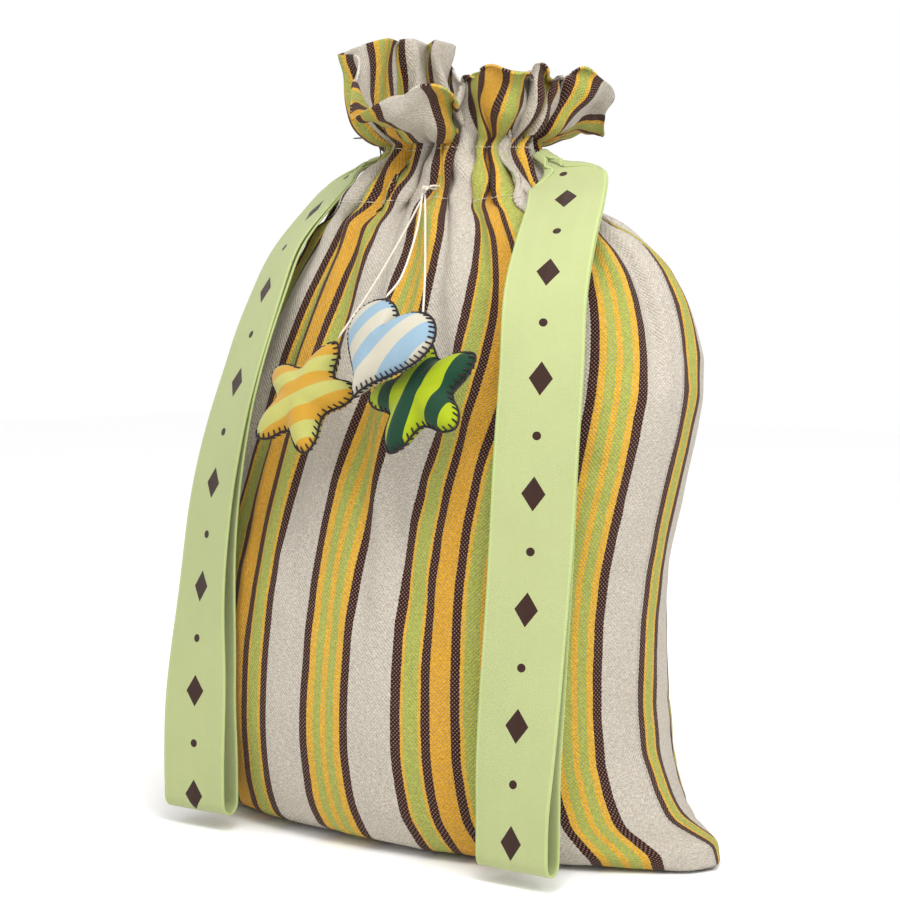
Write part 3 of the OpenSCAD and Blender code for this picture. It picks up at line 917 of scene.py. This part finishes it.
def make_seams(points, canvas):
    """Seam allowances inside the side seams, and the tape of cloth along the bottom seam."""
    centre = points.mean(axis=1)
    for side, column in (("left", 0), ("right", PANEL_COLUMNS)):
        edge = points[4 : 2 - HEADING_ROWS, column]
        towards = unit((centre[4 : 2 - HEADING_ROWS] - edge) * (1, 1, 0))
        layers = edge[:, None] + towards[:, None] * SEAM_DEPTHS[:, None]
        flat = flat_grid(SEAM_DEPTHS - SEAM_DEPTHS[0], np.arange(len(edge)) * CELL)
        mesh, replaced = grid_mesh("seam", layers, flat), f"{side}_side_seam"
        seam = piece(f"{side}_seam_allowance", mesh, canvas, "bag", "striped_canvas", replaced)
        thicken(seam, 0.002, 0.0)
    front = points[0, : PANEL_COLUMNS + 1]
    across = np.linspace(-BOTTOM_SEAM_HALF, BOTTOM_SEAM_HALF, 7)
    crown = [np.array((0, y, 0.0028 - 0.0008 * (y / BOTTOM_SEAM_HALF) ** 2)) for y in across]
    layers = np.stack([front * (1, 0, 0) + place for place in crown], axis=1)
    mesh = grid_mesh("bottom_seam_tape", layers, flat_grid(across + 0.01, front[:, 0]))
    strip = piece("bottom_seam_tape", mesh, canvas, "bag", "striped_canvas", "bottom_seam")
    thicken(strip, CLOTH_THICKNESS, 0.0)


# ---- tape loops ----
# Rows down the front of each loop: x, y, z, facing angle in degrees, gap to the layer behind
LEFT_ROUTE = [
    (-0.056, 0.026, 0.440, -30, 0.002), (-0.078, 0.010, 0.430, -28, 0.002),
    (-0.087, -0.014, 0.407, -26, 0.002), (-0.095, -0.038, 0.378, -25, 0.002),
    (-0.094, -0.059, 0.345, -23, 0.0025), (-0.091, -0.081, 0.305, -20, 0.003),
    (-0.094, -0.096, 0.260, -15, 0.0035), (-0.097, -0.107, 0.210, -12, 0.006),
    (-0.097, -0.116, 0.150, -6, 0.008), (-0.092, -0.126, 0.090, 4, 0.010),
    (-0.090, -0.130, 0.050, 6, 0.014), (-0.090, -0.130, 0.018, 6, 0.014),
]
RIGHT_ROUTE = [
    (0.070, 0.028, 0.436, 12, 0.002), (0.101, 0.014, 0.421, 12, 0.002),
    (0.118, -0.008, 0.405, 16, 0.002), (0.131, -0.036, 0.378, 22, 0.002),
    (0.142, -0.060, 0.345, 28, 0.0025), (0.150, -0.074, 0.300, 30, 0.003),
    (0.152, -0.082, 0.250, 30, 0.004), (0.152, -0.087, 0.190, 28, 0.007),
    (0.152, -0.094, 0.130, 22, 0.008), (0.153, -0.102, 0.075, 12, 0.010),
    (0.154, -0.106, 0.045, 5, 0.013), (0.155, -0.108, 0.016, 4, 0.013),
]


def tape_centres(route):
    """Centre points and across directions: down the front, round the fold, up behind."""
    rows = catmull(route, 12)
    angle = np.radians(rows[:, 3])
    across = np.c_[np.cos(angle), np.sin(angle), np.zeros(len(rows))]
    facing = across[:, [1, 0, 2]] * (1, -1, 1)
    front = rows[:, :3]
    behind = front - facing * rows[:, 4:5]
    radius = rows[-1, 4] / 2
    turn = np.linspace(0, math.pi, 14)[1:-1]
    fold = front[-1] - np.outer(1 - np.cos(turn), facing[-1] * radius)
    fold -= np.outer(np.sin(turn), (0, 0, radius))
    centres = np.vstack([front, fold, behind[::-1]])
    sides = np.vstack([across, np.repeat(across[-1:], len(fold), axis=0), across[::-1]])
    return centres, sides


def tape_section(along, place):
    """How far each point of a tape lies across its middle line, and in front of it.

    At both ends the tape is folded like a fan to a quarter of its width, to fit its exit.
    """
    along, place = along[:, None], place[None, :]
    from_end = np.minimum(along, along[-1] - along)
    half = TAPE_WIDTH / 2 * (0.25 + 0.75 * smooth_step((from_end - TAPE_FOLDED) / TAPE_OPENING))
    bounce = np.abs(place * TAPE_WIDTH) / half
    layer = np.floor(bounce + 1e-6)
    share = np.where(layer % 2 == 0, bounce - layer, 1 - bounce + layer)
    behind = 0.0011 * np.clip(bounce - 0.75, 0, 4) * np.where(along < along[-1] / 2, -1, 1)
    behind = behind * smooth_step((1 - half / (TAPE_WIDTH / 2)) / 0.1)
    ripple = 0.0008 * np.sin(along * 37 + 3 * place) * np.sin(along * 13)
    return np.sign(place) * half * share, ripple + behind


def make_tape(side, route, tape):
    centres, sides = tape_centres(route)
    track = resample(np.hstack([centres, sides * 0.02]), 260)
    centres, sides = track[:, :3], track[:, 3:]
    ahead = unit(np.gradient(centres, axis=0))
    sides = unit(sides - ahead * np.sum(sides * ahead, axis=1)[:, None])
    place = np.linspace(-0.5, 0.5, 21)
    along = climbed(centres)
    across, lift = tape_section(along, place)
    points = centres[:, None] + sides[:, None] * across[:, :, None]
    points = points + np.cross(sides, ahead)[:, None] * lift[:, :, None]
    mesh = grid_mesh("tape", points, flat_grid((place + 0.5) * TAPE_WIDTH, along))
    loop = piece(f"{side}_drawstring_tape", mesh, tape, None, "tape", f"{side}_tape_loop")
    thicken(loop, TAPE_THICKNESS, 0.0)
    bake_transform(loop)
    path_length(centres)


# The loose end of the left tack's thread, from where it leaves the tack
LOOSE_END = [(-0.060, 0.018, 0.448), (-0.068, 0.015, 0.4535), (-0.078, 0.011, 0.454)]


def make_bartacks(side, thread):
    """Close bars of thread at both ends of the slit where a tape leaves the casing."""
    low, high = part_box(f"{side}_exit_bartacks")
    x = (low.x + high.x) / 2
    paths = []
    for z in (low.z + 0.001, high.z - 0.001):
        for k in range(9):
            y = low.y + (high.y - low.y) * (k + 0.5) / 9
            bar = [(x, y - 0.0009, z - 0.0015), (x + 0.0003, y, z), (x, y + 0.0009, z + 0.0015)]
            paths.append(bar)
    if side == "left":
        paths.append(catmull([(x, low.y + 0.004, high.z), *LOOSE_END], 6))
    mesh, name = tubes_mesh("bartack", paths, 0.0005), f"{side}_exit_bartacks"
    piece(f"{side}_bartack_thread", mesh, thread, "bag", "bartack_thread", name)


# ---- charms ----
ANCHOR = np.array((0.030, -0.039, 0.414))
HANG_SLOPE = math.radians(29)
# Swing in degrees, then points down each thread: distance below the anchor, lift off the hanging plane
THREADS = {
    "gold_star": (-11, [(0.005, -0.002), (0.035, -0.002), (0.075, 0.0), (0.114, 0.005)]),
    "blue_heart": (17, [(0.005, 0.002), (0.035, 0.004), (0.075, 0.014), (0.099, 0.0275)]),
    "green_star": (23, [(0.005, 0.0), (0.035, 0.0), (0.075, 0.001), (0.118, 0.005)]),
}


def hang(point, swing):
    """A point of the hanging plane (across, up, lift), in the frame."""
    x, y, z = point
    turn = math.radians(swing)
    across, up = x * math.cos(turn) - y * math.sin(turn), x * math.sin(turn) + y * math.cos(turn)
    tip = math.pi / 2 - HANG_SLOPE
    back = up * math.cos(tip) - z * math.sin(tip)
    return ANCHOR + np.array((across, back, up * math.sin(tip) + z * math.cos(tip)))


def make_thread(name, thread):
    swing, route = THREADS[name]
    path = [hang((0, -down, lift), swing) for down, lift in catmull(route, 7)]
    path = resample(np.array(path), 24)
    mesh = tubes_mesh(name, [path], THREAD_D / 2, 8)
    obj = piece(f"{name}_cord", mesh, thread, name, "hanging_thread", f"{name}_thread")
    path_length(path)


def charm_plane(name):
    """Centre, across, up and normal directions of a charm, and its outline on that plane."""
    verts = np.array([v.co for v in NODES[f"{name}_edging"].data.vertices])
    centre = np.unique(verts.round(6), axis=0).mean(axis=0)
    normal = np.linalg.eigh(np.cov((verts - centre).T))[1][:, 0]
    normal *= -np.sign(normal[1])
    up = ANCHOR - centre
    up = unit(up - normal * (up @ normal))
    across = np.cross(up, normal)
    flat = np.unique(np.c_[(verts - centre) @ across, (verts - centre) @ up].round(5), axis=0)
    angle = np.arctan2(flat[:, 1], flat[:, 0])
    order = np.argsort(angle)
    flat, angle = flat[order], angle[order]
    groups = np.split(flat, np.flatnonzero(np.diff(angle) > math.radians(1.5)) + 1)
    rim = np.array([g[np.argmin(np.linalg.norm(g, axis=1))] for g in groups])
    return centre, across, up, normal, rim


# Charm, cloth, its two colours and the turn of its stripes in degrees
CHARM_CLOTHS = [
    ("gold_star", "gold_lime_cotton", (182, 138, 40), (172, 170, 92), -50),
    ("blue_heart", "blue_cream_cotton", (130, 155, 171), (180, 174, 157), -52),
    ("green_star", "green_lime_cotton", (8, 54, 32), (146, 162, 4), -35),
]
RIM_POINTS = 120
SHARES = np.array([0.0, 0.12, 0.24, 0.36, 0.48, 0.6, 0.7, 0.79, 0.87, 0.94, 1.0])


def round_outline(rim):
    """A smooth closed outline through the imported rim."""
    wrapped = np.vstack([rim[-2:], rim, rim[:3]])
    curve = catmull(wrapped, 8)[16:-16]
    return resample(curve, RIM_POINTS + 1)[:-1]


def charm_shape(rim, half_thickness):
    """Front and back faces of a cushion as (share, point) grids on its own plane."""
    dome = half_thickness * (1 - SHARES**2.6) ** 0.6
    spread = SHARES[:, None, None] * rim[None]
    front = np.concatenate([spread, np.repeat(dome[:, None, None], len(rim), axis=1)], axis=2)
    back = front * (1, 1, -1)
    return front, back


def cushion_mesh(front, back):
    """Closed mesh of both faces, joined at the rim: rings of the front, then of the back."""
    n, m = front.shape[:2]
    verts = [tuple(front[0, 0])] + [tuple(p) for p in front[1:].reshape(-1, 3)]
    verts += [tuple(p) for p in back[1:-1].reshape(-1, 3)] + [tuple(back[0, 0])]
    last = len(verts) - 1

    def front_index(i, j):
        return 0 if i == 0 else 1 + (i - 1) * m + j % m

    def back_index(i, j):
        if i == n - 1:
            return front_index(i, j)
        return last if i == 0 else 1 + (n - 1) * m + (i - 1) * m + j % m

    faces = []
    for i in range(n - 1):
        for j in range(m):
            corners = ((i, j), (i + 1, j), (i + 1, j + 1), (i, j + 1))
            a, b, c, d = (front_index(*corner) for corner in corners)
            faces.append((a, b, c) if i == 0 else (a, b, c, d))
            a, d, c, b = (back_index(*corner) for corner in corners)
            faces.append((a, c, d) if i == 0 else (a, b, c, d))
    mesh = bpy.data.meshes.new("cushion")
    mesh.from_pydata(verts, [], faces)
    mesh.update()
    return mesh


def unpack_cushion(points, n, m):
    """The front and back grids again, from the closed mesh's points."""
    front = np.concatenate([np.repeat(points[:1], m, axis=0), points[1 : 1 + (n - 1) * m]]).reshape(n, m, 3)
    inner = points[1 + (n - 1) * m : -1].reshape(n - 2, m, 3)
    back = np.concatenate([np.repeat(points[-1:], m, axis=0)[None], inner, front[-1:]])
    return front, back


def stitch_bars(front, back):
    """Blanket stitches: a bar over each face from every other point of the rim."""
    paths = []
    for j in range(0, front.shape[1], 2):
        for face, way in ((front, 1), (back, -1)):
            bar = resample(face[[-1, -2], j], 6)
            lift = np.array((0, 0, way * 0.0004))
            paths.append(bar + lift + np.outer(np.linspace(0.3, 0, 6), unit(front[-1, j])) * 0.002)
    return paths


def stuffed_faces(rim):
    """Front and back grids of a stuffed cushion, settled from two flat pieces of cloth."""
    front, back = charm_shape(rim, CHARM_HALF)
    flat_front, flat_back = charm_shape(rim * 1.1, 0.0003)
    rest = np.array([v.co for v in cushion_mesh(flat_front, flat_back).vertices])
    loose, filled = np.zeros(len(rest)), np.ones(len(rest))
    mesh = cushion_mesh(front, back)
    settled = settle(mesh, rest, loose, filled, 14, pressure=6.0, gravity=0.0, floor=False, bending=0.05)
    return list(unpack_cushion(settled, *front.shape[:2]))


def turned_outwards(mesh, outside):
    """The mesh with its doubled points joined and its faces looking to the outside."""
    bm = bmesh.new()
    bm.from_mesh(mesh)
    bmesh.ops.remove_doubles(bm, verts=bm.verts, dist=1e-6)
    bmesh.ops.recalc_face_normals(bm, faces=bm.faces)
    if sum((f.normal @ Vector(outside)) * f.calc_area() for f in bm.faces) < 0:
        bmesh.ops.reverse_faces(bm, faces=bm.faces)
    bm.to_mesh(mesh)
    bm.free()
    return mesh


def make_charm(name, cloth, edging, filling):
    centre, across, up, normal, rim = charm_plane(name)
    rim = round_outline(rim)
    points = stuffed_faces(rim)
    axes = np.stack([across, up, normal])

    def placed(local):
        return centre + np.asarray(local) @ axes

    flat = SHARES[:, None, None] * rim[None] + 0.1
    for side, grid, outside in (("front", points[0], normal), ("back", points[1], -normal)):
        order = slice(None, None, -1 if side == "back" else 1)
        ring, ring_flat = (np.concatenate([g, g[:, :1]], axis=1)[:, order] for g in (grid, flat))
        mesh = turned_outwards(grid_mesh(f"{name}_{side}", placed(ring), ring_flat), outside)
        face = piece(f"{name}_{side}_cloth", mesh, cloth, name, f"{name}_cloth", f"{name}_{side}")
        thicken(face, 0.0006)
    inner = cushion_mesh(*(placed(grid * (0.93, 0.93, 0.85)) for grid in points))
    stuffing = piece(f"{name}_stuffing", inner, filling, name, "filling", f"{name}_filling")
    bars = [placed(path) for path in stitch_bars(*points)]
    stitches = bmesh.new()
    stitches.from_mesh(tubes_mesh("bars", bars, EDGE_STITCH_R))
    ring = points[0][-1] + unit(points[0][-1]) * 0.0005
    stitches.from_mesh(tubes_mesh("ring", [placed(ring)], THREAD_D / 2, closed=True))
    mesh = bpy.data.meshes.new(f"{name}_edging")
    stitches.to_mesh(mesh)
    stitches.free()
    piece(f"{name}_blanket_stitch", mesh, edging, name, "edging_thread", f"{name}_edging")


def make_knot(thread):
    """An overhand knot of three thin threads, and the loop that ties it to the casing."""
    turn = np.linspace(0, 2 * math.pi, 61)[:-1]
    paths = []
    for shift in (0.0, 2.1, 4.2):
        a = turn + shift
        knot = np.c_[np.sin(a) + 2 * np.sin(2 * a), np.cos(a) - 2 * np.cos(2 * a), -np.sin(3 * a)]
        paths.append(ANCHOR + knot * 0.0006 * (1, 1, 1.4))
    mesh = tubes_mesh("knot", paths, THREAD_D / 2, 8, closed=True)
    piece("charm_knot_threads", mesh, thread, "charm_bunch", "hanging_thread", "charm_knot")
    low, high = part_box("charm_anchor_loop")
    centre = (np.array(low) + np.array(high)) / 2
    radius = (high.z - low.z) / 2 - 0.0008
    ring = centre + np.c_[0.0009 * np.sin(turn), radius * np.cos(turn), 0.0009 * np.sin(turn)]
    mesh = tubes_mesh("anchor_loop", [ring], THREAD_D / 2, 8, closed=True)
    piece("charm_anchor_thread", mesh, thread, "bag", "hanging_thread", "charm_anchor_loop")


# ---- floor and light ----
# Name, place, watts and size of each lamp
LAMPS = [
    ("key_light", (1.7, -0.5, 1.4), 13, 0.8),
    ("top_light", (0.1, -0.6, 2.0), 6, 0.8),
    ("near_light", (0.42, -0.45, 0.92), 3.4, 0.3),
]


def make_studio():
    scene = bpy.context.scene
    scene.view_settings.view_transform = "Standard"
    floor = add_object("floor", level_square("floor", 4))
    floor.data.materials.append(Graph("pale_floor", roughness=0.9).colour((0.975, 0.975, 0.975)))
    world = bpy.data.worlds.new("studio")
    world.use_nodes = True
    world.node_tree.nodes["Background"].inputs[0].default_value = (1.0, 1.0, 1.0, 1)
    world.node_tree.nodes["Background"].inputs[1].default_value = 1.0
    scene.world = world
    for name, place, power, size in LAMPS:
        lamp = bpy.data.lights.new(name, "AREA")
        lamp.energy = power
        lamp.size = size
        obj = add_object(name, lamp)
        obj.location = place
        obj.rotation_euler = (Vector((0, 0, 0.25)) - Vector(place)).to_track_quat("-Z", "Y").to_euler()


def main():
    make_camera()
    cream_thread = yarn_material("cream_thread", THREAD_CREAM)
    for name in THREADS:
        make_thread(name, cream_thread)
    make_studio()
    canvas = canvas_material()
    tape = tape_material()
    sewing = yarn_material("sewing_cotton", srgb(206, 197, 176))
    points, height = sack_points()
    make_sack(points, height, canvas)
    make_casing(points, height, canvas, tape)
    make_stitching(points, sewing)
    make_seams(points, canvas)
    make_tape("left", LEFT_ROUTE, tape)
    make_tape("right", RIGHT_ROUTE, tape)
    tack = yarn_material("tack_cotton", TACK_GREEN)
    for side in ("left", "right"):
        make_bartacks(side, tack)
    edging = yarn_material("blanket_stitch_cotton", EDGE_THREAD)
    filling = filling_material()
    for name, cloth, first, second, degrees in CHARM_CLOTHS:
        cotton = charm_material(cloth, srgb(*first), srgb(*second), math.radians(degrees))
        make_charm(name, cotton, edging, filling)
    make_knot(cream_thread)


main()
bpy.context.view_layer.update()
